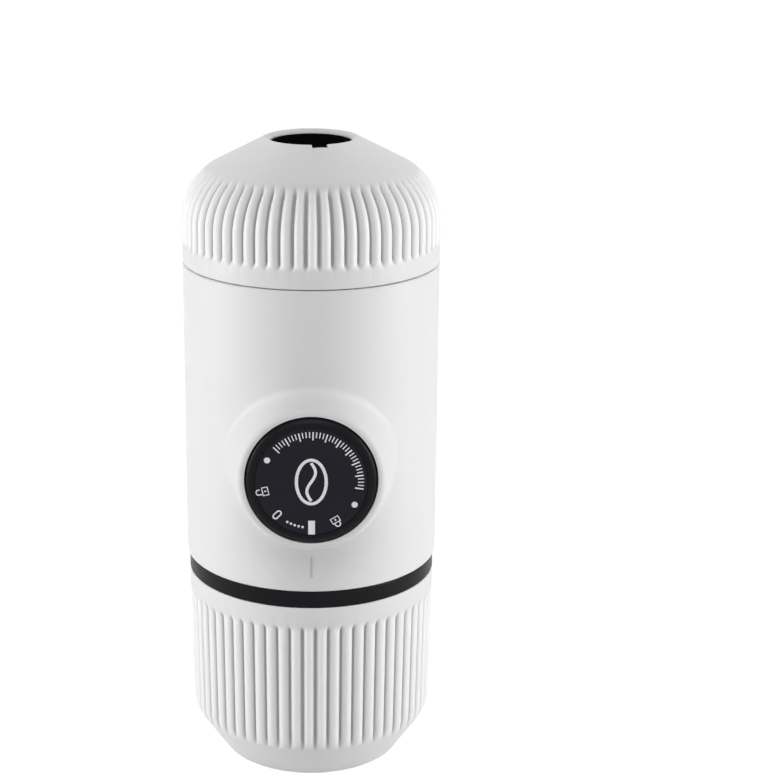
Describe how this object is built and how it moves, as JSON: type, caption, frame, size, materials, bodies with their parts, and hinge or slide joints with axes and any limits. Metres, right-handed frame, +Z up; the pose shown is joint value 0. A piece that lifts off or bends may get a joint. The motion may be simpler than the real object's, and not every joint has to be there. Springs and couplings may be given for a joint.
{
  "type": "handheld manual espresso maker",
  "caption": "Pocket hand-pump espresso maker, a fluted white cylinder with a dark side piston cap, stored upright with its cup over the water tank.",
  "frame": {"origin": "centre of the cup's flat base, on the body's axis", "axes": "+Z up the body's axis to the outlet, piston cap faces -Y, +X to the right of someone facing the cap"},
  "size_m": [0.062, 0.071, 0.1563],
  "materials": {
    "white_shell": "fine satin texture",
    "soft_black": "satin soft touch",
    "moulded_black": "moulded, lightly polished",
    "smoke_tank": "clear smoke, polished",
    "natural_polymer": "machined engineering plastic",
    "steel": "brushed stainless",
    "spring_steel": "drawn wire",
    "brass": "turned",
    "silicone": "moulded silicone",
    "clear_silicone": "moulded silicone",
    "scoop_black": "polished"
  },
  "bodies": {
    "body": {"body_shell": "white_shell", "chassis": "moulded_black", "piston_guide": "moulded_black", "pump_cylinder": "steel", "valve_block": "moulded_black", "duct_seals": "silicone", "valve_inserts": "brass", "pump_screws": "steel", "shower_screen": "steel", "screen_screw": "steel", "basket_gasket": "silicone", "vent_valve": "clear_silicone", "intake_filter": "steel", "inlet_spring": "spring_steel", "outlet_spring": "spring_steel", "return_spring": "spring_steel"},
    "inlet_ball": {"inlet_ball": "steel"},
    "outlet_ball": {"outlet_ball": "steel"},
    "piston": {"piston_rod": "natural_polymer", "piston_seal": "silicone", "cap_screw": "steel"},
    "cap": {"piston_cap": "soft_black", "cap_plate": "soft_black"},
    "head_seal": {"head_gasket": "silicone"},
    "head": {"outlet_cover": "white_shell", "outlet_body": "moulded_black", "outlet_screen": "steel", "crema_valve": "clear_silicone", "spout": "scoop_black"},
    "basket": {"filter_basket": "steel"},
    "scoop": {"scoop": "scoop_black"},
    "tank_seal": {"tank_gasket": "silicone"},
    "tank": {"water_tank": "smoke_tank", "tank_collar": "soft_black", "grip_ring": "silicone"},
    "cup": {"drinking_cup": "white_shell"}
  },
  "joints": [
    {"name": "piston_slide", "type": "slide", "parent": "body", "child": "piston", "axis": [0, -1, 0], "range_m": [0, 0.02], "deforming": ["return_spring"]},
    {"name": "cap_turn", "type": "hinge", "parent": "piston", "child": "cap", "pos_m": [0, -0.038, 0.0837], "axis": [0, -1, 0], "range_deg": [0, 46]},
    {"name": "head_lift", "type": "slide", "parent": "body", "child": "head_seal", "axis": [0, 0, 1], "range_m": [0, 0.03841]},
    {"name": "head_turn", "type": "hinge", "parent": "head_seal", "child": "head", "pos_m": [0, 0, 0.13], "axis": [0, 0, 1], "range_deg": [0, 1080]},
    {"name": "basket_lift", "type": "slide", "parent": "body", "child": "basket", "axis": [0, 0, 1], "range_m": [0, 0.02689]},
    {"name": "scoop_lift", "type": "slide", "parent": "body", "child": "scoop", "axis": [0, 0, 1], "range_m": [0, 0.01537]},
    {"name": "tank_lift", "type": "slide", "parent": "body", "child": "tank_seal", "axis": [0, 0, -1], "range_m": [0, 0.02561]},
    {"name": "tank_turn", "type": "hinge", "parent": "tank_seal", "child": "tank", "pos_m": [0, 0, 0.056], "axis": [0, 0, -1], "range_deg": [0, 720]},
    {"name": "cup_pull", "type": "slide", "parent": "tank", "child": "cup", "axis": [0, 0, -1], "range_m": [0, 0.05]},
    {"name": "inlet_ball_lift", "type": "slide", "parent": "body", "child": "inlet_ball", "axis": [0, 0, 1], "range_m": [0, 0.0012], "stiffness_N_per_m": 40, "springref_m": -0.0015, "deforming": ["inlet_spring"]},
    {"name": "outlet_ball_lift", "type": "slide", "parent": "body", "child": "outlet_ball", "axis": [0, 0, 1], "range_m": [0, 0.0012], "stiffness_N_per_m": 40, "springref_m": -0.0015, "deforming": ["outlet_spring"]}
  ],
  "couplings": [
    {"joint": "head_lift", "follows": "head_turn", "m_per_rad": 0.0020372},
    {"joint": "basket_lift", "follows": "head_turn", "m_per_rad": 0.001426},
    {"joint": "scoop_lift", "follows": "head_turn", "m_per_rad": 0.00081487},
    {"joint": "tank_lift", "follows": "tank_turn", "m_per_rad": 0.0020372}
  ]
}
